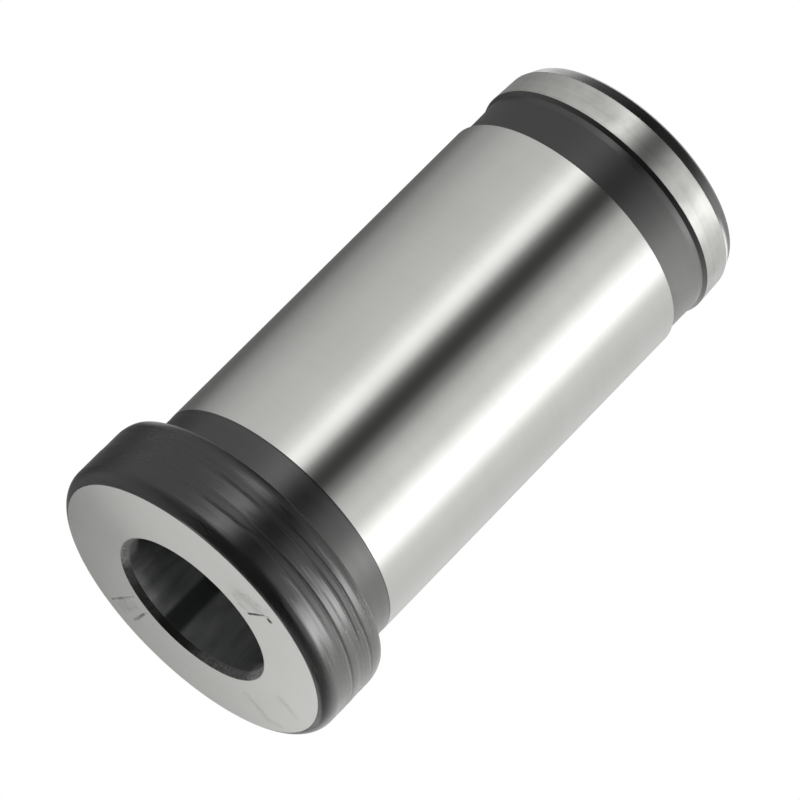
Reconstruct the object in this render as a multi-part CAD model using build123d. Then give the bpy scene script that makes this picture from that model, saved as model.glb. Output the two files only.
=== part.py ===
from build123d import *
import os
from math import acos, cos, radians, sin, tan

# A taper sleeve for a lathe's tool block, turned and ground from one piece of steel.
# A round shank goes into the block up to the shoulder of a thick flange, and a self-holding
# taper socket runs right through from the front face.
# The origin is the centre of the rear face, and +Z runs along the axis to the front face.
# All sizes are in millimetres.

# Shank and flange
shank_diameter = 40.0         # ground size that the tool block takes
shank_length = 79.5           # rear face to the flange's shoulder
flange_rim = 3.55             # how far the flange stands out from the shank
flange_thickness = 11.5       # shoulder to front face

# Neck between the ground body and the shoulder, left as turned
neck_length = 5.8
neck_undersize = 0.02         # radius under the ground size, so that the block still reaches the shoulder

# Rear end of the shank, from the rear face up
lead_length = 2.4             # lead-in cone that finds the block's bore
lead_angle = 24.0             # its slope to the axis, in degrees
lead_round = 1.2              # rounding between the lead-in cone and the rear face
ring_width = 4.4              # ground ring behind the relief
ring_undersize = 0.02         # at the ring's front edge, its largest
ring_taper = 0.22             # radius that the ring loses from its front edge to its rear edge
relief_width = 7.2            # from the ring's front edge to the ground body
relief_depth = 0.5
relief_fillet = 1.5           # from the relief's floor up to the ring
body_chamfer = 0.15           # at the ground body's rear edge

# Flange edges: each is an arc tangent to the rim, swept by an angle and cut off by the face
front_round_radius = 2.6
front_round_angle = 66.0
rear_round_radius = 1.9
rear_round_angle = 35.0

# Turning grooves round the flange's rim
groove_pitch = 1.22
groove_width = 0.45
groove_depth = 0.08
groove_margin = 1.25          # plain rim left beside the rounded edges
rim_step = 0.05               # the rim behind the middle groove is this much smaller in radius

# Taper socket: standard self-holding taper number 3
socket_gauge_diameter = 23.825     # at the front face, before the mouth is chamfered
socket_taper_length = 19.922       # length along the axis over which the diameter falls by 1 mm
mouth_chamfer_width = 0.75
mouth_chamfer_depth = 1.0
tail_chamfer = 0.6                 # at the socket's small end

# Heights above the rear face
ring_end = lead_length + ring_width
relief_end = ring_end + relief_width
body_end = shank_length - neck_length
front_face = shank_length + flange_thickness

# Radii
body_radius = shank_diameter / 2
neck_radius = body_radius - neck_undersize
ring_radius = body_radius - ring_undersize
ring_rear_radius = ring_radius - ring_taper
lead_radius = ring_rear_radius - lead_length * tan(radians(lead_angle))
relief_radius = body_radius - relief_depth
flange_radius = body_radius + flange_rim
rear_rim_radius = flange_radius - rim_step


def rounded_edge(rim_radius, face_height, round_radius, sweep, up):
    """Three points of a flange edge: on the rim, half way round, and on the face.
    up is +1 at the front face and -1 at the shoulder."""
    centre_radius = rim_radius - round_radius
    centre_height = face_height - up * round_radius * sin(radians(sweep))
    return [
        (
            centre_radius + round_radius * cos(radians(turn)),
            centre_height + up * round_radius * sin(radians(turn)),
        )
        for turn in (0, sweep / 2, sweep)
    ]


def rounded_corner(before, corner, after, round_radius):
    """Three points of the arc that rounds a corner and runs tangent into both its sides."""
    to_before = (Vector(*before) - Vector(*corner)).normalized()
    to_after = (Vector(*after) - Vector(*corner)).normalized()
    half_angle = radians(to_before.get_angle(to_after) / 2)
    inward = (to_before + to_after).normalized()
    points = [
        Vector(*corner) + to_before * (round_radius / tan(half_angle)),
        Vector(*corner) + inward * (round_radius / sin(half_angle) - round_radius),
        Vector(*corner) + to_after * (round_radius / tan(half_angle)),
    ]
    return [(point.X, point.Y) for point in points]


def relief_rise():
    """Three points of the relief's rear end: from the ring's front edge, which cuts the
    fillet off, down to the floor that the fillet runs tangent into."""
    fillet = max(relief_fillet, ring_radius - relief_radius)
    sweep = acos(1 - (ring_radius - relief_radius) / fillet)
    return [
        (relief_radius + fillet * (1 - cos(turn)), ring_end + fillet * (sin(sweep) - sin(turn)))
        for turn in (sweep, sweep / 2, 0)
    ]


def socket_radius(height):
    """The taper's radius at a height above the rear face."""
    return (socket_gauge_diameter - (front_face - height) / socket_taper_length) / 2


def groove_heights(rear_edge, front_edge):
    """Heights of the turning grooves that fit on the rim between its rounded edges."""
    room = front_edge - rear_edge - 2 * groove_margin
    count = int(room / groove_pitch) + 1
    return [rear_edge + groove_margin + i * groove_pitch for i in range(max(count, 0))]


front_edge = rounded_edge(flange_radius, front_face, front_round_radius, front_round_angle, +1)
rear_edge = rounded_edge(rear_rim_radius, shank_length, rear_round_radius, rear_round_angle, -1)
rear_corner = rounded_corner((0, 0), (lead_radius, 0), (ring_rear_radius, lead_length), lead_round)
grooves = groove_heights(rear_edge[0][1], front_edge[0][1])
step_height = grooves[len(grooves) // 2] if grooves else (rear_edge[0][1] + front_edge[0][1]) / 2


def outside_section():
    """Half section of the solid sleeve, with no socket yet, as radius and height."""
    chamfer_size = min(body_chamfer, relief_depth)
    with BuildSketch(Plane.XZ) as section:
        with BuildLine():
            Line((0, 0), rear_corner[0])
            ThreePointArc(*rear_corner)
            Polyline(rear_corner[2], (ring_rear_radius, lead_length), (ring_radius, ring_end))
            ThreePointArc(*relief_rise())
            Polyline(
                relief_rise()[2],
                (relief_radius, relief_end),
                (body_radius - chamfer_size, relief_end),
                (body_radius, relief_end + chamfer_size),
                (body_radius, body_end),
                (neck_radius, body_end),
                (neck_radius, shank_length),
                rear_edge[2],
            )
            ThreePointArc(*reversed(rear_edge))
            Polyline(
                rear_edge[0],
                (rear_rim_radius, step_height),
                (flange_radius, step_height),
                front_edge[0],
            )
            ThreePointArc(*front_edge)
            Polyline(front_edge[2], (0, front_face), (0, 0))
        make_face()
    return section.sketch


def socket_section():
    """Half section of what is bored out: the taper with a chamfer at each mouth."""
    mouth_radius = socket_gauge_diameter / 2 + mouth_chamfer_width
    mouth_bottom = front_face - mouth_chamfer_depth
    tail_radius = socket_radius(tail_chamfer) + tail_chamfer
    with BuildSketch(Plane.XZ) as section:
        with BuildLine():
            Polyline(
                (0, 0),
                (tail_radius, 0),
                (socket_radius(tail_chamfer), tail_chamfer),
                (socket_radius(mouth_bottom), mouth_bottom),
                (mouth_radius, front_face),
                (0, front_face),
                (0, 0),
            )
        make_face()
    return section.sketch


def rim_groove(height):
    """A ring with a pointed section that leaves one shallow groove in the rim."""
    rim = flange_radius if height > step_height else rear_rim_radius
    with BuildSketch(Plane.XZ) as section:
        with BuildLine():
            Polyline(
                (rim - groove_depth, height),
                (rim + groove_depth, height - groove_width),
                (rim + groove_depth, height + groove_width),
                close=True,
            )
        make_face()
    return revolve(section.sketch, Axis.Z)


def taper_sleeve():
    """The whole sleeve as one solid."""
    sleeve = revolve(outside_section(), Axis.Z)
    sleeve -= revolve(socket_section(), Axis.Z)
    for height in grooves:
        sleeve -= rim_groove(height)
    return sleeve


os.makedirs("parts", exist_ok=True)
export_step(taper_sleeve(), "parts/taper_sleeve.step")
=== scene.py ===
import math
import random
import bpy
import numpy as np
from mathutils import Matrix, Quaternion, Vector


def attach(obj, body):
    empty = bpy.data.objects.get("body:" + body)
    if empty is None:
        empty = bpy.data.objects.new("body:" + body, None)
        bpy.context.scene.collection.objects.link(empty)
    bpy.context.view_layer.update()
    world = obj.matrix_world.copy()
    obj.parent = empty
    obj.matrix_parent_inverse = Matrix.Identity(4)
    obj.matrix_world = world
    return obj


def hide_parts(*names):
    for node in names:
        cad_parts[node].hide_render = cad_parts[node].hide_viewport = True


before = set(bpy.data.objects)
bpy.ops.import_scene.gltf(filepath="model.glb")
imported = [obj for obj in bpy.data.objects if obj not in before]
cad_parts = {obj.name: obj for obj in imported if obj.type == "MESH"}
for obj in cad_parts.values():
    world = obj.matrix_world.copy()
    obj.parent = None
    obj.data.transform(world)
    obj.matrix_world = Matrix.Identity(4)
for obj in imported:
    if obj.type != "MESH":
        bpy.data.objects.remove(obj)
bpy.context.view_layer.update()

mm = 0.001  # the sizes below are in millimetres, Blender works in metres


def hexColour(code):
    # an sRGB hex value as the linear colour that Blender wants
    parts = [int(code[i:i + 2], 16) / 255 for i in (1, 3, 5)]
    linear = [c / 12.92 if c <= 0.04045 else ((c + 0.055) / 1.055) ** 2.4 for c in parts]
    return (*linear, 1.0)


def setInputs(tree, node, inputs):
    # an input takes a value, a socket, or another node's first output in use
    for name, value in inputs.items():
        if isinstance(value, bpy.types.Node):
            value = next(socket for socket in value.outputs if socket.enabled)
        if isinstance(value, bpy.types.NodeSocket):
            tree.links.new(value, node.inputs[name])
        else:
            node.inputs[name].default_value = value


def addNode(tree, kind, settings=None, inputs=None):
    # one node with its settings and links
    node = tree.nodes.new("ShaderNode" + kind)
    for name, value in (settings or {}).items():
        setattr(node, name, value)
    setInputs(tree, node, inputs or {})
    return node


def fillRamp(node, stops):
    # stops are (place from 0 to 1, grey value)
    ramp = node.color_ramp
    ramp.interpolation = "EASE"
    while len(ramp.elements) > 1:
        ramp.elements.remove(ramp.elements[-1])
    ramp.elements[0].position = stops[0][0]
    for place, value in stops[1:]:
        ramp.elements.new(place)
    for element, (place, value) in zip(ramp.elements, stops):
        element.position = place
        element.color = (value, value, value, 1.0)
    return node


# camera, at the photograph's viewing angle
camera = {
    "place": (0.125, -783.116, 385.677),
    "aim": (-0.043, 0.0, 48.323),
    "roll": -135.302,
    "lens": 283.663,
    "clip": (50, 20000),
}

cameraData = bpy.data.cameras.new("camera")
cameraData.lens = camera["lens"]
cameraData.clip_start, cameraData.clip_end = (reach * mm for reach in camera["clip"])
cameraObject = bpy.data.objects.new("camera", cameraData)
bpy.context.scene.collection.objects.link(cameraObject)
cameraObject.location = Vector(camera["place"]) * mm
look = (Vector(camera["aim"]) - Vector(camera["place"])).to_track_quat("-Z", "Y")
cameraObject.rotation_mode = "QUATERNION"
cameraObject.rotation_quaternion = look @ Quaternion((0, 0, 1), math.radians(camera["roll"]))
bpy.context.scene.camera = cameraObject
bpy.context.scene.view_settings.view_transform = "Standard"
print("camera set")


# plain pale floor
floor = {"size": 6000, "drop": 0.2, "colour": "#ffffff", "glow": 1.0}

half = floor["size"] / 2 * mm
floorMesh = bpy.data.meshes.new("floor")
floorMesh.from_pydata(
    [(-half, -half, 0), (half, -half, 0), (half, half, 0), (-half, half, 0)], [], [(0, 1, 2, 3)]
)
floorObject = bpy.data.objects.new("floor", floorMesh)
bpy.context.scene.collection.objects.link(floorObject)
floorObject.location.z = -floor["drop"] * mm
floorPaint = bpy.data.materials.new("whitePaperFloor")
floorPaint.use_nodes = True
floorTree = floorPaint.node_tree
floorTree.nodes.clear()
paper = addNode(floorTree, "Emission", {}, {"Color": hexColour(floor["colour"]),
                                            "Strength": floor["glow"]})
addNode(floorTree, "OutputMaterial", {}, {"Surface": paper})
floorMesh.materials.append(floorPaint)
# the light comes from the studio round the sleeve, so the floor is only seen
floorObject.visible_glossy = False
floorObject.visible_diffuse = False
floorObject.visible_shadow = False
print("floor laid")


# soft studio light, all round: brightness by direction, in three belts of height. Directions
# are degrees round the axis: 0 is towards the camera, below 0 to the left of it and above 0 to
# the right, as the photograph shows the sleeve. Heights are degrees above the horizon.
studio = {
    "level": [(-180, 0.60), (-162, 0.16), (-144, 0.11), (-132, 0.11), (-120, 0.24), (-108, 0.45),
              (-96, 0.58), (-72, 0.76), (-48, 0.90), (-36, 1.25), (-26, 1.98), (-19, 1.45),
              (-11, 0.26), (-4, 0.045), (4, 0.045), (12, 0.30), (24, 0.88), (36, 1.12), (48, 0.95),
              (60, 0.58), (96, 0.26), (120, 0.10), (144, 0.08), (160, 0.28), (180, 0.62)],
    "below": [(-180, 1.4), (-150, 2.4), (-130, 1.2), (-112, 0.30), (-96, 0.22), (-78, 0.19),
              (-60, 0.09), (-36, 0.05), (-20, 0.07), (0, 0.10), (30, 0.08), (50, 0.07),
              (70, 0.10), (84, 0.40), (100, 1.10), (120, 1.3), (150, 1.2), (180, 1.0)],
    "above": [(-180, 0.10), (-150, 0.34), (-120, 0.60), (-90, 0.56), (-60, 0.22), (-36, 0.04),
              (0, 0.01), (40, 0.01), (66, 0.03), (96, 0.15), (130, 0.32), (155, 0.22),
              (180, 0.05)],
    "top": 2.6,          # a ramp holds 0 to 1, so its values are scaled by this
    "belowEdge": (-62, -33),    # heights over which one belt passes into the next
    "aboveEdge": (-8, 22),
    "zenithEdge": (50, 80),     # heights over which the light falls off overhead
    "zenith": 0.04,      # share of the light that is left overhead
    "background": 1.0,   # what the camera sees behind the sleeve
}
# more light in front of those belts: two strips on the right, a glow off the ground behind on
# the left, and a faint glow on either side in front, which the flange's rounding and, from
# behind, the face catch. Each has its aim, its half size and the share of that which fades
# out, first round the axis and then up.
strips = [
    {"aim": (67, -15), "size": (27.5, 28), "fade": (1.0, 1.0), "glow": 3.05},
    {"aim": (122, -20), "size": (62, 44), "fade": (0.6, 1.0), "glow": 0.78},
    {"aim": (-150, -49), "size": (30, 24), "fade": (0.6, 0.4), "glow": 1.0},
    {"aim": (60, 20), "size": (29, 16), "fade": (0.8, 0.8), "glow": 0.42},
    {"aim": (-46, 20), "size": (28, 16), "fade": (0.8, 0.8), "glow": 0.24},
]

world = bpy.data.worlds.new("softStudio")
bpy.context.scene.world = world
world.use_nodes = True
world.cycles_visibility.diffuse = False    # it is for reflections; the fills light the dull black
sky = world.node_tree
sky.nodes.clear()
direction = addNode(sky, "TexCoord").outputs["Generated"]
xyz = addNode(sky, "SeparateXYZ", {}, {0: direction})
minusX = addNode(sky, "Math", {"operation": "MULTIPLY"}, {0: xyz.outputs["X"], 1: -1.0})
minusY = addNode(sky, "Math", {"operation": "MULTIPLY"}, {0: xyz.outputs["Y"], 1: -1.0})
around = addNode(sky, "Math", {"operation": "ARCTAN2"}, {0: minusX, 1: minusY})
turn = addNode(sky, "MapRange", {}, {"Value": around, "From Min": -math.pi, "From Max": math.pi})
tilt = addNode(sky, "Math", {"operation": "ARCSINE"}, {0: xyz.outputs["Z"]})
bands = {}
for band in ("level", "below", "above"):
    stops = [((angle + 180) / 360, value / studio["top"]) for angle, value in studio[band]]
    bands[band] = fillRamp(addNode(sky, "ValToRGB", {}, {"Fac": turn}), stops)
low, high = (math.radians(angle) for angle in studio["belowEdge"])
belowShare = addNode(sky, "MapRange", {"interpolation_type": "SMOOTHSTEP"},
                     {"Value": tilt, "From Min": low, "From Max": high,
                      "To Min": 1.0, "To Max": 0.0})
low, high = (math.radians(angle) for angle in studio["aboveEdge"])
aboveShare = addNode(sky, "MapRange", {"interpolation_type": "SMOOTHSTEP"},
                     {"Value": tilt, "From Min": low, "From Max": high})
lower = addNode(sky, "Mix", {"data_type": "RGBA"},
                {0: belowShare, 6: bands["level"], 7: bands["below"]})
surround = addNode(sky, "Mix", {"data_type": "RGBA"}, {0: aboveShare, 6: lower, 7: bands["above"]})
low, high = (math.radians(angle) for angle in studio["zenithEdge"])
overhead = addNode(sky, "MapRange", {"interpolation_type": "SMOOTHSTEP"},
                   {"Value": tilt, "From Min": low, "From Max": high,
                    "To Min": 1.0, "To Max": studio["zenith"]})
roomPower = addNode(sky, "Math", {"operation": "MULTIPLY"}, {0: overhead, 1: studio["top"]})
stripSum = 0.0
for strip in strips:
    masks = []
    for value, aim, size, fade in zip((around, tilt), strip["aim"], strip["size"], strip["fade"]):
        offset = addNode(sky, "Math", {"operation": "SUBTRACT"}, {0: value, 1: math.radians(aim)})
        away = addNode(sky, "Math", {"operation": "ABSOLUTE"}, {0: offset})
        masks.append(addNode(sky, "MapRange", {"interpolation_type": "SMOOTHSTEP"},
                             {"Value": away, "From Min": math.radians(size * (1 - fade)),
                              "From Max": math.radians(size),
                              "To Min": 1.0, "To Max": 0.0}))
    patch = addNode(sky, "Math", {"operation": "MULTIPLY"}, {0: masks[0], 1: masks[1]})
    stripSum = addNode(sky, "Math", {"operation": "MULTIPLY_ADD"},
                       {0: patch, 1: strip["glow"], 2: stripSum})
room = addNode(sky, "Background", {}, {"Color": surround, "Strength": roomPower})
stripLight = addNode(sky, "Background", {}, {"Color": (1, 1, 1, 1), "Strength": stripSum})
lit = addNode(sky, "AddShader", {}, {0: room, 1: stripLight})
plain = addNode(sky, "Background", {}, {"Color": (1, 1, 1, 1), "Strength": studio["background"]})
seen = addNode(sky, "LightPath").outputs["Is Camera Ray"]
backdrop = addNode(sky, "MixShader", {}, {0: seen, 1: lit, 2: plain})
addNode(sky, "OutputWorld", {}, {"Surface": backdrop})


def directionOf(turn, tilt):
    # degrees round the axis and above the horizon, as a vector of length 1
    turn, tilt = math.radians(turn), math.radians(tilt)
    return Vector((-math.sin(turn) * math.cos(tilt), -math.cos(turn) * math.cos(tilt),
                   math.sin(tilt)))


# soft boxes: the point that they light, where they stand as turn and tilt from it, and how far
# off; where their lower edge lies, counted up from that direction, and how far it is turned
# askew; and whether glossy and dull surfaces get their light. A glow of 1 is as bright as
# white paper.
# The box behind is what the front face looks back into: its lower edge runs askew, so that
# the face is darker on the left. The box above shows in the face from the top. The fills reach
# only the dull black.
fill = {"lights": (0, 0, 45), "distance": 420, "size": (200, 200), "edge": -100, "askew": 0,
        "gloss": False, "dull": True}
softBoxes = {
    "boxBehind": {"lights": (0, 0, 91), "turn": 180, "tilt": 20.6, "distance": 95,
                  "size": (150, 90), "edge": -1, "askew": -17, "glow": 0.80,
                  "gloss": True, "dull": True},
    "boxAbove": {"lights": (0, 0, 91), "turn": 180, "tilt": 73, "distance": 300,
                 "size": (220, 90), "edge": -45, "askew": 0, "glow": 1.2,
                 "gloss": True, "dull": False},
    "fillRight": dict(fill, turn=100, tilt=-35, glow=98),
    "fillLeft": dict(fill, turn=-110, tilt=-8, glow=8),
    "fillFront": dict(fill, turn=0, tilt=30, glow=0.6),
}
for name, box in softBoxes.items():
    towards = directionOf(box["turn"], box["tilt"])
    level = Vector((0, 0, 1)).cross(towards).normalized()
    up = Matrix.Rotation(math.radians(box["askew"]), 3, towards) @ towards.cross(level)
    boxData = bpy.data.lights.new(name, "AREA")
    boxData.shape = "RECTANGLE"
    boxData.size, boxData.size_y = (side * mm for side in box["size"])
    boxData.energy = box["glow"] * math.pi * boxData.size * boxData.size_y
    boxObject = bpy.data.objects.new(name, boxData)
    bpy.context.scene.collection.objects.link(boxObject)
    middle = towards * box["distance"] + up * (box["edge"] + box["size"][1] / 2)
    boxObject.location = (Vector(box["lights"]) + middle) * mm
    boxObject.rotation_mode = "QUATERNION"
    facing = Matrix((up.cross(towards), up, towards)).transposed()
    boxObject.rotation_quaternion = facing.to_quaternion()
    boxObject.visible_camera = False
    boxObject.visible_glossy = box["gloss"]
    boxObject.visible_diffuse = box["dull"]

# a spot from the front that shines down into the socket's mouth; with a glow of 1, white paper
# in its beam is as bright as the floor
socketSpot = {"turn": 0, "tilt": 50, "distance": 260, "aim": (0, 2, 88), "cone": 7.0,
              "blend": 0.4, "size": 45, "glow": 2.2}
towards = directionOf(socketSpot["turn"], socketSpot["tilt"])
spotData = bpy.data.lights.new("socketSpot", "SPOT")
spotData.energy = socketSpot["glow"] * 4 * math.pi ** 2 * (socketSpot["distance"] * mm) ** 2
spotData.spot_size = math.radians(socketSpot["cone"])
spotData.spot_blend = socketSpot["blend"]
spotData.shadow_soft_size = socketSpot["size"] * mm
spotObject = bpy.data.objects.new("socketSpot", spotData)
bpy.context.scene.collection.objects.link(spotObject)
spotObject.location = (Vector(socketSpot["aim"]) + towards * socketSpot["distance"]) * mm
spotObject.rotation_mode = "QUATERNION"
spotObject.rotation_quaternion = (-towards).to_track_quat("-Z", "Y")
spotObject.visible_camera = False
spotObject.visible_glossy = False
print("studio lit")


def startMaterial(name):
    material = bpy.data.materials.new(name)
    material.use_nodes = True
    tree = material.node_tree
    tree.nodes.clear()
    shader = addNode(tree, "BsdfPrincipled")
    addNode(tree, "OutputMaterial", {}, {"Surface": shader})
    return material, tree, shader


def lathePlace(tree):
    # where a point lies as the lathe sees it: its direction round the axis in degrees, its
    # height, and its run along the turned outline (height less radius, which grows over rim,
    # rounding and face alike)
    place = addNode(tree, "TexCoord").outputs["Object"]
    parts = addNode(tree, "SeparateXYZ", {}, {0: place}).outputs
    flat = addNode(tree, "VectorMath", {"operation": "MULTIPLY"}, {0: place, 1: (1.0, 1.0, 0.0)})
    radius = addNode(tree, "VectorMath", {"operation": "LENGTH"}, {0: flat}).outputs["Value"]
    heading = addNode(tree, "VectorMath", {"operation": "NORMALIZE"}, {0: flat})
    run = addNode(tree, "Math", {"operation": "SUBTRACT"}, {0: parts["Z"], 1: radius})
    minus = addNode(tree, "VectorMath", {"operation": "SCALE"}, {0: flat, "Scale": -1.0})
    ahead = addNode(tree, "SeparateXYZ", {}, {0: minus}).outputs
    around = addNode(tree, "Math", {"operation": "ARCTAN2"}, {0: ahead["X"], 1: ahead["Y"]})
    around = addNode(tree, "Math", {"operation": "MULTIPLY"}, {0: around, 1: math.degrees(1.0)})
    return {"place": place, "flat": flat, "heading": heading, "run": run, "height": parts["Z"],
            "around": around}


def patchMask(tree, lathe, patches):
    # how strongly a point lies within the patches: each spans some directions round the axis,
    # in degrees, with ends that fade over so many degrees, and may lie only above or below a
    # height, which comes with its blur
    total = None
    for patch in patches:
        (start, end), (rise, fall) = patch["span"], patch["fade"]
        away = addNode(tree, "Math", {"operation": "WRAP"},
                       {0: lathe["around"], 1: (start + end) / 2 + 180, 2: (start + end) / 2 - 180})
        sides = [(away, start - rise / 2, start + rise / 2, 0.0, 1.0),
                 (away, end - fall / 2, end + fall / 2, 1.0, 0.0)]
        for key, first, last in (("above", 0.0, 1.0), ("below", 1.0, 0.0)):
            if key in patch:
                level, blur = patch[key]
                sides.append((lathe["height"], (level - blur / 2) * mm, (level + blur / 2) * mm,
                              first, last))
        mask = patch["strength"]
        for value, low, high, first, last in sides:
            side = addNode(tree, "MapRange", {"interpolation_type": "SMOOTHSTEP"},
                           {"Value": value, "From Min": low, "From Max": high,
                            "To Min": first, "To Max": last})
            mask = addNode(tree, "Math", {"operation": "MULTIPLY"}, {0: mask, 1: side})
        total = mask if total is None else addNode(
            tree, "Math", {"operation": "ADD"}, {0: total, 1: mask})
    return total


# how the noises are read
noiseUse = {
    "low": 0.3, "high": 0.7,    # nearly all of a noise's values lie between these
    "fineness": 0.55,           # how strongly the finer detail of a tool mark shows
}


def straying(tree, noise, middle, spread):
    # a value that strays from the middle by as much as the spread, up and down with the noise
    return addNode(tree, "MapRange", {}, {
        "Value": noise, "From Min": noiseUse["low"], "From Max": noiseUse["high"],
        "To Min": middle - spread, "To Max": middle + spread})


def toolMarks(tree, lathe, spacing, arcs, detail=2.0, seed=0.0):
    # noise drawn out round the axis: marks `spacing` millimetres apart that change about
    # `arcs` times on the way round; another seed gives another set of marks
    circle = addNode(tree, "VectorMath", {"operation": "SCALE"},
                     {0: lathe["heading"], "Scale": arcs / (2 * math.pi)})
    along = addNode(tree, "Math", {"operation": "MULTIPLY_ADD"},
                    {0: lathe["run"], 1: 1.0 / (spacing * mm), 2: seed})
    along = addNode(tree, "CombineXYZ", {}, {"Z": along})
    vector = addNode(tree, "VectorMath", {"operation": "ADD"}, {0: circle, 1: along})
    return addNode(tree, "TexNoise", {}, {"Vector": vector, "Scale": 1.0, "Detail": detail,
                                          "Roughness": noiseUse["fineness"]}).outputs[0]


# what the ground finishes share
grinding = {
    "markArcs": 3.0,
    "bandSeed": 7.0,               # so that the broad bands don't follow the fine marks
    "shadeRange": (0.12, 0.42),    # marks times bands, from no shade to full shade
}

shankFinish = {
    # Hardened steel, cylindrically ground: a clean satin bright metal. The wheel's fine marks
    # run round the shank, so lights smear along its length and stay sharp across it.
    "colour": "#dadad7",
    "shade": "#d7d7d3",
    "roughness": 0.31,
    "roughSpread": 0.006,
    "anisotropy": 0.96,
    "markSpacing": 0.5,     # real marks are some 0.02 mm apart; drawn coarser so that they show
    "markDepth": 0.00005,
    "bandSpacing": 7.0,     # broad bands, along which shade and roughness stray
    "arcs": 4.0,            # how often a band changes on the way round
}

ringFinish = {
    # The same steel on the narrow rear ring, ground more roughly and handled: bright but cloudy.
    "colour": "#d2d2cf",
    "shade": "#c3c3bf",
    "roughness": 0.38,
    "roughSpread": 0.03,
    "anisotropy": 0.75,
    "markSpacing": 0.6,     # real marks are some 0.05 mm apart; drawn coarser so that they show
    "markDepth": 0.0002,
    "bandSpacing": 2.6,
    "arcs": 48.0,
    "dull": [{"span": (-130, -56), "fade": (20, 44), "strength": 0.40}],
}

faceFinish = {
    # The same steel, face ground: satin, with hardly a line, and a few dark scratches and
    # smudges from use.
    "colour": "#d6d6d3",
    "shade": "#d3d3cf",
    "roughness": 0.31,
    "roughSpread": 0.012,
    "anisotropy": 0.5,
    "markSpacing": 0.6,     # real marks are finer than 0.05 mm; drawn coarser so that they show
    "markDepth": 0.00008,
    "bandSpacing": 4.0,
    "arcs": 24.0,
    "scratchColour": "#20201e",
    "scratchBreak": 1.6,            # millimetres between breaks in a scratch
    "scratchDetail": 3.0,
    "scratchRange": (0.3, 0.6),     # of the noise that breaks it, from faintest to full
    "scratchFaintest": 0.35,
    "scratchRoughness": 0.2,        # added to the face's own
    "scratchReach": 1.5,            # half widths out to where a scratch has faded away
    "scratchCore": 0.1,             # share of that reach before the fading starts
}

# scratches and smudges on the front face: the points that they run through, their half width at
# both ends, and how dark they are
faceScratches = [
    ([(-5.6, -13.8), (-6.0, -14.7), (-6.6, -15.9), (-7.1, -17.1)], (0.23, 0.20), 1.0),
    ([(-7.1, -17.1), (-7.4, -17.4), (-7.8, -18.0)], (0.20, 0.17), 0.4),
    ([(-8.25, -17.2), (-8.0, -17.3)], (0.42, 0.32), 1.6),
    ([(-2.6, -15.0), (-3.4, -17.5)], (0.60, 0.42), 0.24),
    ([(-3.2, -14.7), (-3.4, -16.6)], (0.48, 0.60), 0.15),
    ([(-3.9, -18.1), (-4.5, -17.8), (-5.5, -18.2), (-6.0, -18.6)], (0.48, 0.36), 0.2),
    ([(-4.1, -14.1), (-5.0, -14.3)], (0.60, 0.42), 0.2),
    ([(-5.4, -18.3), (-5.5, -18.1)], (0.32, 0.29), 0.35),
    ([(-6.9, -19.2), (-7.1, -18.9)], (0.36, 0.30), 0.2),
    ([(-3.4, -16.2), (-5.7, -17.1)], (1.80, 1.56), 0.19),
    ([(8.7, 18.5), (8.2, 16.8)], (0.16, 0.25), 0.75),
    ([(8.2, 16.8), (7.8, 15.4)], (0.27, 0.22), 0.9),
    ([(7.8, 15.4), (7.3, 13.7), (6.8, 12.0)], (0.22, 0.16), 0.5),
    ([(7.7, 15.2), (7.4, 15.5)], (0.35, 0.38), 0.4),
    ([(7.9, 16.9), (7.4, 16.9)], (0.42, 0.48), 0.24),
    ([(6.9, 17.8), (5.8, 14.2)], (1.30, 1.00), 0.20),
    ([(6.1, 16.9), (5.9, 15.7), (5.6, 14.2)], (0.36, 0.28), 0.42),
    ([(7.3, 15.6), (6.9, 14.0)], (0.55, 0.45), 0.16),
    ([(4.6, 18.2), (4.4, 17.1)], (0.24, 0.31), 0.6),
    ([(4.4, 17.1), (4.3, 15.5), (4.2, 14.0)], (0.29, 0.24), 0.75),
    ([(4.2, 14.0), (4.0, 12.9)], (0.20, 0.14), 0.35),
    ([(-13.2, 8.2), (-14.7, 8.5), (-16.3, 8.8), (-17.4, 9.4)], (0.60, 0.72), 0.17),
    ([(-17.4, 9.4), (-19.3, 7.8)], (0.72, 0.60), 0.14),
    ([(-16.6, 0.5), (-17.9, 0.5), (-19.6, 1.1)], (0.66, 0.60), 0.16),
]

# what the turned finishes share: coarse marks beside the fine ones, given in terms of those
turning = {
    "fineDetail": 3.0,
    "coarseSpacing": 3.5,
    "coarseArcs": 0.6,
    "coarseDetail": 1.0,
    "coarseDepth": 2.0,
    "coarseSeed": 3.0,
    "streakSeed": 11.0,
    "lightest": 1.3,        # how much lighter than its colour the skin gets on the coarse marks
}

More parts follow.
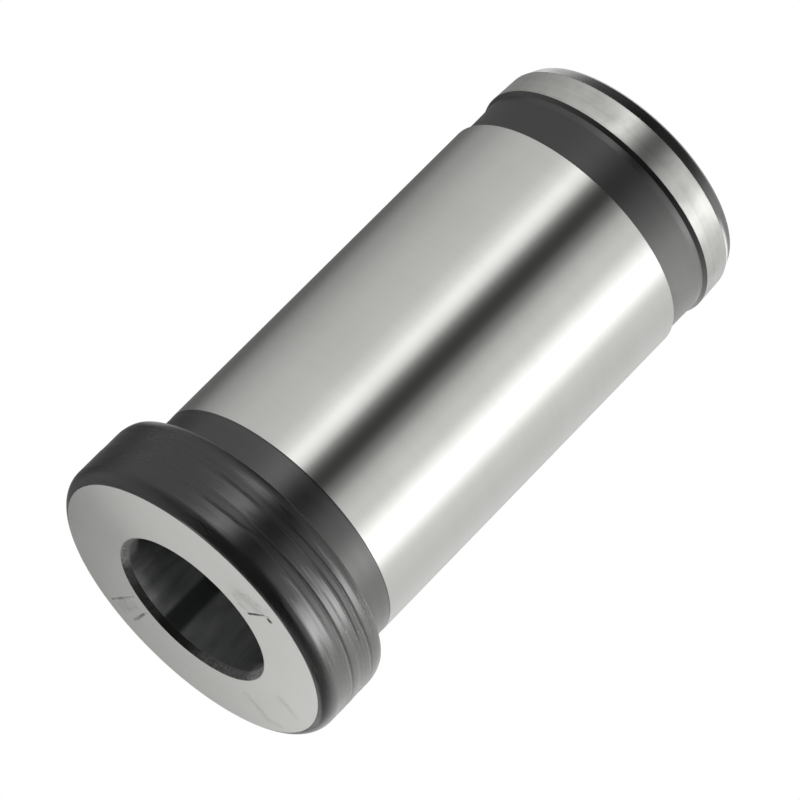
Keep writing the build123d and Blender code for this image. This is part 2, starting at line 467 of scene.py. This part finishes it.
rimFinish = {
    # Black oxide over turned steel: a thin blued-black skin that keeps the tool's marks, oily
    # dark with soft grey highlights drawn out round the rim.
    "colour": "#2c2c2b",
    "roughness": 0.23,
    "roughSpread": 0.045,
    "haze": 0.03,
    "hazeRoughness": 0.4,
    "ior": 1.6,
    "markSpacing": 0.30,    # feed marks of the turning tool
    "markDepth": 0.0026,
    "arcs": 7.0,
    # polished lands between the duller grooved bands, with ragged streaky ends
    "gloss": [
        {"span": (-23, -7), "fade": (14, 8), "strength": 0.42, "above": (86.95, 0.5)},
        {"span": (-23, -7), "fade": (14, 8), "strength": 0.42,
         "above": (83.35, 0.5), "below": (85.25, 0.4)},
        {"span": (-20, -5), "fade": (14, 8), "strength": 0.42,
         "above": (80.7, 0.5), "below": (81.55, 0.3)},
        {"span": (21, 46), "fade": (16, 18), "strength": 1.15, "above": (87.0, 0.5)},
        {"span": (21, 46), "fade": (16, 18), "strength": 1.2,
         "above": (83.35, 0.5), "below": (85.25, 0.4)},
        {"span": (21, 46), "fade": (16, 18), "strength": 1.15,
         "above": (80.7, 0.5), "below": (81.55, 0.3)},
    ],
    "glossRoughness": 0.18,
    "glossIor": 1.72,
    "glossRange": (0.3, 0.6),    # of the streaks, from the weakest gloss to the full one
    "glossWeakest": 0.45,
    "ragged": 8.0,               # degrees by which the lands' ends stray either way
    "streakSpacing": 0.45,       # finer streaks that break the lands up
    "streakArcs": 14.0,
    # the grooved bands between them, where this is added to the roughness
    "dull": [
        {"span": (-60, 140), "fade": (20, 60), "strength": 0.06,
         "above": (85.3, 0.3), "below": (87.0, 0.3)},
        {"span": (-60, 140), "fade": (20, 60), "strength": 0.06,
         "above": (81.65, 0.3), "below": (83.25, 0.3)},
        {"span": (-60, 70), "fade": (20, 20), "strength": 0.06, "below": (80.7, 0.5)},
    ],
}

neckFinish = {
    # The same skin over a finer turned surface: smooth and dark, with hardly a mark.
    "colour": "#272726",
    "roughness": 0.29,
    "roughSpread": 0.015,
    "haze": 0.03,
    "hazeRoughness": 0.4,
    "ior": 1.75,
    "markSpacing": 0.6,     # real marks are some 0.1 mm apart; drawn coarser so that they show
    "markDepth": 0.0006,
    "arcs": 3.0,
}

reliefFinish = {
    # The same skin in the relief, a little duller, so that the lights spread wider.
    "colour": "#292928",
    "roughness": 0.39,
    "roughSpread": 0.02,
    "haze": 0.05,
    "hazeRoughness": 0.4,
    "ior": 1.68,
    "markSpacing": 0.6,     # real marks are some 0.1 mm apart; drawn coarser so that they show
    "markDepth": 0.0008,
    "arcs": 3.0,
}

leadFinish = {
    # The same skin on the lead-in cone, where fine lighter streaks run round. On both sides bright
    # steel is painted in: partly the ring's steel reaching lower there, partly a painted reflection
    # of the light that the dark skin catches at a glance.
    "colour": "#0e0e0d",
    "roughness": 0.22,
    "roughSpread": 0.05,
    "ior": 1.75,
    "markSpacing": 0.28,    # feed marks of the turning tool
    "markDepth": 0.004,
    "arcs": 5.0,
    "steelAndPaintedReflection": [
        {"span": (-96, -59), "fade": (20, 12), "strength": 0.37},
        {"span": (-110, -50), "fade": (20, 20), "strength": 0.22, "above": (1.9, 0.9)},
        {"span": (50, 110), "fade": (20, 20), "strength": 0.4, "above": (1.9, 0.9)},
    ],
    "steelAndReflectionColour": "#d6d6d3",
}

# what the patched finishes share: cloudy noise that makes their patches uneven, the wear and the
# painted light alike
patchCloud = {
    "detail": 4.0,
    "fineness": 0.6,
    "range": (0.3, 0.65),    # of the noise, from a patch's weakest to its fullest
    "fullest": 1.15,
}

socketFinish = {
    # Black oxide in the taper socket, dull and rough. Its lengthwise grey patches are painted light
    # and shade: lighter walls on both sides, a darker strip between them as a painted reflection of
    # the dark front, a painted highlight near the mouth, and painted light that fades with depth.
    # At the two ends of the mouth it is worn grey.
    "colour": "#333434",
    "wearAndPaintedLightGrey": "#bdbfbe",
    "roughness": 0.5,
    "roughSpread": 0.08,
    "ior": 1.6,
    "streakWidth": 1.6,     # of the marks that the shanks leave
    "streakLength": 6.0,
    "patchiness": 0.55,     # how much is left of a patch at its weakest
    "markDepth": 0.003,
    # painted light and shade: 104-175, 190-240 and 226-262 are the lit walls, the gap between them
    # the dark strip (a painted reflection), the patch above 87.2 the light fading with depth,
    # 198-228 a painted highlight; 246-300 and 60-106 are wear at the mouth's ends
    "patches": [
        {"span": (104, 175), "fade": (26, 4), "strength": 0.32},
        {"span": (190, 240), "fade": (4, 20), "strength": 0.20},
        {"span": (190, 240), "fade": (4, 20), "strength": 0.25, "above": (87.2, 3.4)},
        {"span": (198, 228), "fade": (14, 14), "strength": 0.5, "above": (89.0, 1.4)},
        {"span": (226, 262), "fade": (8, 14), "strength": 0.12},
        {"span": (246, 300), "fade": (16, 20), "strength": 1.3, "above": (88.7, 1.3)},
        {"span": (60, 106), "fade": (20, 18), "strength": 1.3, "above": (88.5, 1.4)},
    ],
}

mouthFinish = {
    # The chamfer at the socket's mouth: black oxide, worn to mottled grey where tools go in.
    "colour": "#161615",
    "wearAndPaintedLightGrey": "#c3c5c3",
    "roughness": 0.42,
    "roughSpread": 0.1,
    "ior": 1.5,
    "streakWidth": 0.55,    # knocks leave spots, so these are as wide as long
    "streakLength": 0.55,
    "patchiness": 0.15,
    "markDepth": 0.01,
    "patches": [
        {"span": (60, 108), "fade": (20, 14), "strength": 1.15},
        {"span": (108, 158), "fade": (14, 20), "strength": 0.27},
        {"span": (192, 222), "fade": (10, 10), "strength": 0.08},
        {"span": (222, 242), "fade": (10, 8), "strength": 0.2},
        {"span": (240, 300), "fade": (12, 20), "strength": 1.2},
    ],
}


def segmentMask(tree, flat, start, end, widths, strength, finish):
    # how strongly a scratch from start to end darkens a point of the face
    start, end = Vector((*start, 0.0)) * mm, Vector((*end, 0.0)) * mm
    span = end - start
    fromStart = addNode(tree, "VectorMath", {"operation": "SUBTRACT"}, {0: flat, 1: start})
    share = addNode(tree, "VectorMath", {"operation": "DOT_PRODUCT"},
                    {0: fromStart, 1: span / span.length_squared}).outputs["Value"]
    share = addNode(tree, "Math", {"operation": "ADD", "use_clamp": True}, {0: share, 1: 0.0})
    nearest = addNode(tree, "VectorMath", {"operation": "SCALE"}, {0: span, "Scale": share})
    away = addNode(tree, "VectorMath", {"operation": "DISTANCE"}, {0: fromStart, 1: nearest})
    first, last = (width * finish["scratchReach"] * mm for width in widths)
    reach = addNode(tree, "MapRange", {}, {"Value": share, "To Min": first, "To Max": last})
    ratio = addNode(tree, "Math", {"operation": "DIVIDE"}, {0: away.outputs["Value"], 1: reach})
    return addNode(tree, "MapRange", {"interpolation_type": "SMOOTHSTEP"},
                   {"Value": ratio, "From Min": finish["scratchCore"],
                    "To Min": strength, "To Max": 0.0})


def scratchMask(tree, flat, scratches, finish):
    total = None
    for path, (first, last), strength in scratches:
        legs = len(path) - 1
        for i in range(legs):
            widths = [first + (last - first) * k / legs for k in (i, i + 1)]
            leg = segmentMask(tree, flat, path[i], path[i + 1], widths, strength, finish)
            total = leg if total is None else addNode(
                tree, "Math", {"operation": "MAXIMUM"}, {0: total, 1: leg})
    return total


def unevenRoughness(tree, lathe, noise, finish):
    # roughness that strays with the noise and is higher in the dull patches
    rough = straying(tree, noise, finish["roughness"], finish["roughSpread"])
    if "dull" in finish:
        dull = patchMask(tree, lathe, finish["dull"])
        rough = addNode(tree, "Math", {"operation": "ADD"}, {0: rough, 1: dull})
    return rough


def dressShader(tree, shader, finish, colour, rough, marks):
    # what every finish has: its colour, its roughness and the relief of its marks
    bump = addNode(tree, "Bump", {}, {"Height": marks, "Strength": 1.0,
                                      "Distance": finish["markDepth"] * mm})
    setInputs(tree, shader, {"Base Color": colour, "Roughness": rough, "Normal": bump})


def groundSteel(name, finish, scratches=()):
    material, tree, shader = startMaterial(name)
    lathe = lathePlace(tree)
    fine = toolMarks(tree, lathe, finish["markSpacing"], grinding["markArcs"])
    broad = toolMarks(tree, lathe, finish["bandSpacing"], finish["arcs"],
                      seed=grinding["bandSeed"])
    blend = addNode(tree, "Math", {"operation": "MULTIPLY"}, {0: fine, 1: broad})
    low, high = grinding["shadeRange"]
    shade = addNode(tree, "MapRange", {}, {"Value": blend, "From Min": low, "From Max": high})
    colour = addNode(tree, "Mix", {"data_type": "RGBA"},
                     {0: shade, 6: hexColour(finish["colour"]), 7: hexColour(finish["shade"])})
    rough = unevenRoughness(tree, lathe, broad, finish)
    if scratches:
        breaks = addNode(tree, "TexNoise", {}, {"Vector": lathe["place"],
                                                "Scale": 1 / (finish["scratchBreak"] * mm),
                                                "Detail": finish["scratchDetail"]})
        low, high = finish["scratchRange"]
        broken = addNode(tree, "MapRange", {}, {"Value": breaks, "From Min": low,
                                                "From Max": high,
                                                "To Min": finish["scratchFaintest"]})
        mark = addNode(tree, "Math", {"operation": "MULTIPLY"},
                       {0: scratchMask(tree, lathe["flat"], scratches, finish), 1: broken})
        colour = addNode(tree, "Mix", {"data_type": "RGBA"},
                         {0: mark, 6: colour, 7: hexColour(finish["scratchColour"])})
        rough = addNode(tree, "Math", {"operation": "MULTIPLY_ADD"},
                        {0: mark, 1: finish["scratchRoughness"], 2: rough})
    tangent = addNode(tree, "Tangent", {"direction_type": "RADIAL", "axis": "Z"})
    setInputs(tree, shader, {
        "Metallic": 1.0,
        "Anisotropic": finish["anisotropy"],
        "Anisotropic Rotation": 0.25,    # a quarter turn: the marks run round the axis
        "Tangent": tangent,
    })
    dressShader(tree, shader, finish, colour, rough, fine)
    return material


def blackOxide(name, finish):
    material, tree, shader = startMaterial(name)
    lathe = lathePlace(tree)
    fine = toolMarks(tree, lathe, finish["markSpacing"], finish["arcs"], turning["fineDetail"])
    coarse = toolMarks(tree, lathe, finish["markSpacing"] * turning["coarseSpacing"],
                       finish["arcs"] * turning["coarseArcs"], turning["coarseDetail"],
                       turning["coarseSeed"])
    height = addNode(tree, "Math", {"operation": "MULTIPLY_ADD"},
                     {0: coarse, 1: turning["coarseDepth"], 2: fine})
    base = hexColour(finish["colour"])
    light = tuple(min(1.0, c * turning["lightest"]) for c in base[:3]) + (1.0,)
    colour = addNode(tree, "Mix", {"data_type": "RGBA"}, {0: coarse, 6: base, 7: light})
    if "gloss" in finish:
        streaks = toolMarks(tree, lathe, finish["streakSpacing"], finish["streakArcs"],
                            turning["fineDetail"], turning["streakSeed"])
        strayed = addNode(tree, "Math", {"operation": "ADD"},
                          {0: lathe["around"], 1: straying(tree, streaks, 0.0, finish["ragged"])})
        lands = patchMask(tree, dict(lathe, around=strayed), finish["gloss"])
        low, high = finish["glossRange"]
        uneven = addNode(tree, "MapRange", {}, {"Value": streaks, "From Min": low,
                                                "From Max": high,
                                                "To Min": finish["glossWeakest"]})
        weight = addNode(tree, "Math", {"operation": "MULTIPLY", "use_clamp": True},
                         {0: lands, 1: uneven})
        setInputs(tree, shader, {"Coat Weight": weight,
                                 "Coat Roughness": finish["glossRoughness"],
                                 "Coat IOR": finish["glossIor"]})
    if "steelAndPaintedReflection" in finish:
        # bright steel painted in on both sides of the cone: partly the ring's edge, partly a
        # painted reflection
        steelAndPaintedReflection = patchMask(tree, lathe, finish["steelAndPaintedReflection"])
        colour = addNode(tree, "Mix", {"data_type": "RGBA"},
                         {0: steelAndPaintedReflection, 6: colour, 7: hexColour(finish["steelAndReflectionColour"])})
        setInputs(tree, shader, {"Metallic": steelAndPaintedReflection})
    if "haze" in finish:
        setInputs(tree, shader, {"Sheen Weight": finish["haze"],
                                 "Sheen Roughness": finish["hazeRoughness"]})
    setInputs(tree, shader, {"IOR": finish["ior"]})
    dressShader(tree, shader, finish, colour, unevenRoughness(tree, lathe, fine, finish), height)
    return material


def oxideWithWearAndPaintedLight(name, finish):
    # black oxide with grey patches: wear from tool shanks, and in the socket also painted light and
    # shade
    material, tree, shader = startMaterial(name)
    lathe = lathePlace(tree)
    size = (1 / (finish["streakWidth"] * mm),) * 2 + (1 / (finish["streakLength"] * mm),)
    stretched = addNode(tree, "VectorMath", {"operation": "MULTIPLY"},
                        {0: lathe["place"], 1: size})
    cloud = addNode(tree, "TexNoise", {}, {"Vector": stretched, "Scale": 1.0,
                                           "Detail": patchCloud["detail"],
                                           "Roughness": patchCloud["fineness"]})
    low, high = patchCloud["range"]
    uneven = addNode(tree, "MapRange", {}, {"Value": cloud, "From Min": low, "From Max": high,
                                            "To Min": finish["patchiness"],
                                            "To Max": patchCloud["fullest"]})
    # the grey patches: wear, and in the socket painted light and shade
    wearAndPaintedLightGrey = addNode(tree, "Math", {"operation": "MULTIPLY", "use_clamp": True},
                     {0: patchMask(tree, lathe, finish["patches"]), 1: uneven})
    colour = addNode(tree, "Mix", {"data_type": "RGBA"},
                     {0: wearAndPaintedLightGrey, 6: hexColour(finish["colour"]), 7: hexColour(finish["wearAndPaintedLightGrey"])})
    setInputs(tree, shader, {"IOR": finish["ior"]})
    dressShader(tree, shader, finish, colour, unevenRoughness(tree, lathe, cloud, finish), cloud)
    return material


materials = {
    "shank": groundSteel("groundHardenedSteelShank", shankFinish),
    "ring": groundSteel("groundHardenedSteelRing", ringFinish),
    "face": groundSteel("groundHardenedSteelFace", faceFinish, faceScratches),
    "rim": blackOxide("blackOxideTurnedRim", rimFinish),
    "neck": blackOxide("blackOxideTurnedNeck", neckFinish),
    "relief": blackOxide("blackOxideTurnedRelief", reliefFinish),
    "lead": blackOxide("blackOxideTurnedLeadIn", leadFinish),
    "socket": oxideWithWearAndPaintedLight("blackOxideSocketWearAndPaintedLight", socketFinish),
    "mouth": oxideWithWearAndPaintedLight("blackOxideWornMouth", mouthFinish),
}
print("materials made:", ", ".join(m.name for m in materials.values()))


# the sleeve: one turned outline carried round the axis
sleeve = {
    "segments": 360,
    "shankRadius": 20.0, "shankLength": 79.5, "frontFace": 91.0,
    "flangeRadius": 23.538, "rearRimRadius": 23.488, "rimStep": 84.28, "rimStepSpread": 0.6,
    "rimSample": 0.06,           # spacing of the outline's points over the grooved rim
    "frontRound": 2.6, "frontSweep": 66.0, "frontSteps": 20,
    "rearRound": 3.9, "rearSweep": 24.3, "rearSteps": 8,
    "neckRadius": 19.98, "neckStart": 73.7,
    "neckWave": 0.018, "neckWaveLength": 2.15, "neckWaveTop": 77.1,
    "neckWaveEnds": (0.4, 0.1),  # plain neck at the shoulder and at the ground body
    "neckSample": 0.2,           # spacing of the outline's points over the neck
    "neckSway": 0.2,             # how far the neck's border with the body strays up and down
    "neckBorder": 0.02,          # height of the small step from the neck to the body
    "borderReach": 0.05,         # outline points this near to the border sway with it
    "bodyChamfer": 0.15,
    "reliefRadius": 19.5, "reliefEnd": 14.0,
    "riseStart": 10.0, "riseCorners": [(19.53, 8.3), (19.56, 7.4)],
    "ringRadius": 19.98, "ringRearRadius": 19.76, "ringEnd": 6.80,
    "leadLength": 2.4, "leadAngle": 24.0,
    "socketGauge": 23.825, "socketTaper": 19.922,
    "mouthWidth": 0.75, "mouthDepth": 1.0, "tailChamfer": 0.6,
}
# rounding of each corner of the outline, from the socket's small end up and round to the rear
edges = {
    "tail": 0.1, "mouthFoot": 0.7, "mouthLip": 0.06, "faceRim": 0.12, "shoulderRim": 0.1,
    "shoulderFoot": 0.2, "bodyRear": 0.05, "reliefFoot": 0.15, "riseFoot": 3.0,
    "riseMiddle": 0.3, "riseTop": 0.2, "ringFront": 0.06, "ringRear": 0.45, "leadRear": 1.2,
    "rearFace": 0.1,
}
# how a corner is rounded: the most that it takes of either side, and the turn of one step
rounding = {"mostOfSide": 0.45, "stepAngle": 12}

# turning grooves round the rim, which come and go: direction round the axis in degrees, height,
# depth and half width at points along each
rimGrooves = [
    [(-30, 82.75, 0.0, 0.2), (-24, 82.8, 0.07, 0.24), (-10, 82.95, 0.08, 0.24),
     (-4, 83.1, 0.03, 0.25), (10, 83.1, 0.02, 0.25), (18, 83.1, 0.07, 0.28),
     (30, 83.0, 0.10, 0.30), (46, 83.15, 0.09, 0.30), (56, 83.3, 0.0, 0.25),
     (120, 83.1, 0.03, 0.3), (200, 83.1, 0.04, 0.3)],
    [(-34, 82.0, 0.0, 0.3), (-20, 82.1, 0.03, 0.34), (-10, 82.15, 0.05, 0.34),
     (0, 82.15, 0.08, 0.32), (12, 82.0, 0.08, 0.32), (30, 81.8, 0.10, 0.34),
     (44, 82.0, 0.10, 0.36), (60, 81.85, 0.09, 0.36), (80, 81.85, 0.05, 0.3),
     (120, 81.9, 0.04, 0.3), (200, 81.9, 0.05, 0.3)],
    [(-36, 85.4, 0.0, 0.25), (-22, 85.45, 0.04, 0.27), (-10, 85.5, 0.04, 0.27),
     (0, 85.95, 0.07, 0.3), (12, 85.7, 0.10, 0.32), (28, 85.6, 0.11, 0.36),
     (45, 85.7, 0.11, 0.36), (60, 85.75, 0.10, 0.36), (80, 85.7, 0.04, 0.3),
     (120, 85.6, 0.04, 0.3), (200, 85.6, 0.05, 0.3)],
    [(-28, 87.0, 0.0, 0.22), (-22, 86.85, 0.08, 0.26), (-8, 86.7, 0.09, 0.26),
     (0, 86.3, 0.03, 0.24), (10, 86.8, 0.015, 0.2), (20, 86.9, 0.035, 0.2),
     (32, 86.75, 0.045, 0.22), (42, 86.75, 0.025, 0.2), (52, 86.8, 0.0, 0.2),
     (120, 86.8, 0.03, 0.3), (200, 86.8, 0.03, 0.3)],
    [(8, 84.3, 0.0, 0.3), (20, 84.4, 0.02, 0.34), (32, 84.2, 0.022, 0.36),
     (45, 84.2, 0.022, 0.36), (60, 84.0, 0.02, 0.4), (75, 84.2, 0.008, 0.3),
     (120, 84.2, 0.02, 0.3), (300, 84.2, 0.0, 0.3)],
]
grooveEase = 1.15    # 1 leaves a sharp V; above it, the groove's lips are eased
# fainter tool marks that run only part of the way round; they are deepest on one side, and
# the focus says how closely they gather there
rimStreaks = {
    "count": 150, "seed": 11, "depth": (0.001, 0.009), "halfWidth": (0.14, 0.30),
    "halfLength": (5, 26), "between": (80.6, 90.2), "deepestAt": 32, "shallowest": 0.1,
    "focus": 1.5,
}


def socketRadius(height):
    return (sleeve["socketGauge"] - (sleeve["frontFace"] - height) / sleeve["socketTaper"]) / 2


def arcPoints(centre, radius, start, end, steps):
    # centre as radius and height; angles in degrees, 0 pointing outwards
    turns = [math.radians(start + (end - start) * i / steps) for i in range(steps + 1)]
    return [(centre[0] + radius * math.cos(t), centre[1] + radius * math.sin(t)) for t in turns]


def dip(away):
    # a soft dip: 1 in the middle, 0 from a distance of 1 on
    return np.where(np.abs(away) < 1, 0.5 + 0.5 * np.cos(np.pi * away), 0.0)


def vee(away):
    # a V-shaped groove with eased lips: 1 in the middle, 0 from a distance of 1 on
    return np.clip(1 - np.abs(away), 0, 1) ** grooveEase


def rimCut(heights, turns):
    # how far the tool has cut into the rim, by height and by direction round it in degrees
    heights, turns = heights[None, :], turns[:, None]
    near = (0.5 + 0.5 * np.cos(np.radians(turns - rimStreaks["deepestAt"]))) ** rimStreaks["focus"]
    share = rimStreaks["shallowest"] + (1 - rimStreaks["shallowest"]) * near
    chance = random.Random(rimStreaks["seed"])
    cut = np.zeros((turns.shape[0], heights.shape[1]))
    for groove in rimGrooves:
        places, *sizes = zip(*groove)
        middle, depth, halfWidth = (np.interp(turns, places, size, period=360) for size in sizes)
        cut += depth * vee((heights - middle) / halfWidth)
    for _ in range(rimStreaks["count"]):
        place = chance.uniform(*rimStreaks["between"])
        depth = chance.uniform(*rimStreaks["depth"])
        halfWidth = chance.uniform(*rimStreaks["halfWidth"])
        middle = chance.uniform(-180, 180)
        halfLength = chance.uniform(*rimStreaks["halfLength"])
        away = (turns - middle + 180) % 360 - 180
        cut += share * depth * dip((heights - place) / halfWidth) * dip(away / halfLength)
    return cut


def softened(corners):
    # rounds each corner that asks for it; corners are (radius, height, rounding radius, zone
    # after it)
    outline = []
    count = len(corners)
    for i, (radius, height, roundRadius, zone) in enumerate(corners):
        here = Vector((radius, height))
        if not roundRadius:
            outline.append((radius, height, zone))
            continue
        before = Vector(corners[i - 1][:2]) - here
        after = Vector(corners[(i + 1) % count][:2]) - here
        half = before.angle(after) / 2
        reach = min(roundRadius / math.tan(half), before.length * rounding["mostOfSide"],
                    after.length * rounding["mostOfSide"])
        size = reach * math.tan(half)
        inward = (before.normalized() + after.normalized()).normalized()
        centre = here + inward * (size / math.sin(half))
        first = here + before.normalized() * reach - centre
        last = here + after.normalized() * reach - centre
        sweep = first.angle_signed(last)
        steps = max(2, round(abs(math.degrees(sweep)) / rounding["stepAngle"]))
        zoneBefore = corners[i - 1][3]
        for k in range(steps + 1):
            share = -sweep * k / steps
            turned = Vector((first.x * math.cos(share) - first.y * math.sin(share),
                             first.x * math.sin(share) + first.y * math.cos(share)))
            point = centre + turned
            outline.append((point.x, point.y, zone if k >= steps / 2 else zoneBefore))
    return outline


s = sleeve
leadRadius = s["ringRearRadius"] - s["leadLength"] * math.tan(math.radians(s["leadAngle"]))
frontCentre = (s["flangeRadius"] - s["frontRound"],
               s["frontFace"] - s["frontRound"] * math.sin(math.radians(s["frontSweep"])))
rearCentre = (s["rearRimRadius"] - s["rearRound"],
              s["shankLength"] + s["rearRound"] * math.sin(math.radians(s["rearSweep"])))
frontArc = arcPoints(frontCentre, s["frontRound"], s["frontSweep"], 0, s["frontSteps"])
rearArc = arcPoints(rearCentre, s["rearRound"], 0, -s["rearSweep"], s["rearSteps"])

# the outline runs up through the socket, over the face and down the outside
mouthFoot = s["frontFace"] - s["mouthDepth"]
corners = [
    (socketRadius(s["tailChamfer"]), s["tailChamfer"], edges["tail"], "socket"),
    (socketRadius(mouthFoot), mouthFoot, edges["mouthFoot"], "mouth"),
    (s["socketGauge"] / 2 + s["mouthWidth"], s["frontFace"], edges["mouthLip"], "face"),
    (*frontArc[0], edges["faceRim"], "rim"),
]
corners += [(*point, 0, "rim") for point in frontArc[1:]]
rimSpan = frontCentre[1] - rearCentre[1]
rimCount = round(rimSpan / s["rimSample"])
for i in range(1, rimCount):
    z = frontCentre[1] - rimSpan * i / rimCount
    share = min(max((z - s["rimStep"]) / s["rimStepSpread"] + 0.5, 0.0), 1.0)
    r = s["rearRimRadius"] + (s["flangeRadius"] - s["rearRimRadius"]) * share
    corners.append((r, z, 0, "rim"))
corners += [(*point, 0, "rim") for point in rearArc[:-1]]
corners += [
    (*rearArc[-1], edges["shoulderRim"], "neck"),
    (s["neckRadius"], s["shankLength"], edges["shoulderFoot"], "neck"),
]
waveStart = s["shankLength"] - s["neckWaveEnds"][0]
waveEnd = s["neckStart"] + s["neckSway"] + s["neckWaveEnds"][1]
waveSteps = round((waveStart - waveEnd) / s["neckSample"])
for i in range(waveSteps + 1):
    z = waveStart + (waveEnd - waveStart) * i / waveSteps
    wave = 0.5 - 0.5 * math.cos(2 * math.pi * (z - s["neckWaveTop"]) / s["neckWaveLength"])
    corners.append((s["neckRadius"] - s["neckWave"] * wave, z, 0, "neck"))
corners += [
    (s["neckRadius"], s["neckStart"], 0, "shank"),
    (s["shankRadius"], s["neckStart"] - s["neckBorder"], 0, "shank"),
    (s["shankRadius"], s["reliefEnd"] + s["bodyChamfer"], 0, "relief"),
    (s["shankRadius"] - s["bodyChamfer"], s["reliefEnd"], edges["bodyRear"], "relief"),
    (s["reliefRadius"], s["reliefEnd"], edges["reliefFoot"], "relief"),
    (s["reliefRadius"], s["riseStart"], edges["riseFoot"], "relief"),
    (*s["riseCorners"][0], edges["riseMiddle"], "neck"),
    (*s["riseCorners"][1], edges["riseTop"], "relief"),
    (s["ringRadius"], s["ringEnd"], edges["ringFront"], "ring"),
    (s["ringRearRadius"], s["leadLength"], edges["ringRear"], "lead"),
    (leadRadius, 0.0, edges["leadRear"], "lead"),
    (socketRadius(s["tailChamfer"]) + s["tailChamfer"], 0.0, edges["rearFace"], "socket"),
]
outline = softened(corners)

slotOrder = list(materials)
segments, count = s["segments"], len(outline)
heights = np.array([z for r, z, zone in outline])
isRim = np.array([zone == "rim" for r, z, zone in outline])
turns = np.arange(segments) * 360.0 / segments    # 0 towards the camera, growing to the right
heightGrid = np.tile(heights, (segments, 1))
atBorder = np.abs(heights - s["neckStart"]) < s["borderReach"]
heightGrid[:, atBorder] += s["neckSway"] * np.sin(np.radians(turns))[:, None]
radii = np.tile(np.array([r for r, z, zone in outline]), (segments, 1))
radii[:, isRim] -= rimCut(heights[isRim], turns)
turnAngles = np.radians(turns)[:, None]
vertices = np.stack([-radii * np.sin(turnAngles), -radii * np.cos(turnAngles),
                     heightGrid], axis=-1).reshape(-1, 3) * mm
faces, faceSlots = [], []
for step in range(segments):
    here, there = step * count, ((step + 1) % segments) * count
    for i in range(count):
        j = (i + 1) % count
        faces.append((here + i, there + i, there + j, here + j))
        faceSlots.append(slotOrder.index(outline[i][2]))
sleeveMesh = bpy.data.meshes.new("turnedSleeve")
sleeveMesh.from_pydata(vertices.tolist(), [], faces)
for name in slotOrder:
    sleeveMesh.materials.append(materials[name])
sleeveMesh.polygons.foreach_set("material_index", faceSlots)
sleeveMesh.polygons.foreach_set("use_smooth", [True] * len(faces))
sleeveMesh.update()
sleeveObject = bpy.data.objects.new("turnedSleeve", sleeveMesh)
bpy.context.scene.collection.objects.link(sleeveObject)
weighted = sleeveObject.modifiers.new("weightedNormals", "WEIGHTED_NORMAL")
weighted.mode = "FACE_AREA"
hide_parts("taper_sleeve")
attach(sleeveObject, "root")
print("sleeve turned:", len(outline), "outline points,", len(faces) * 2, "triangles")
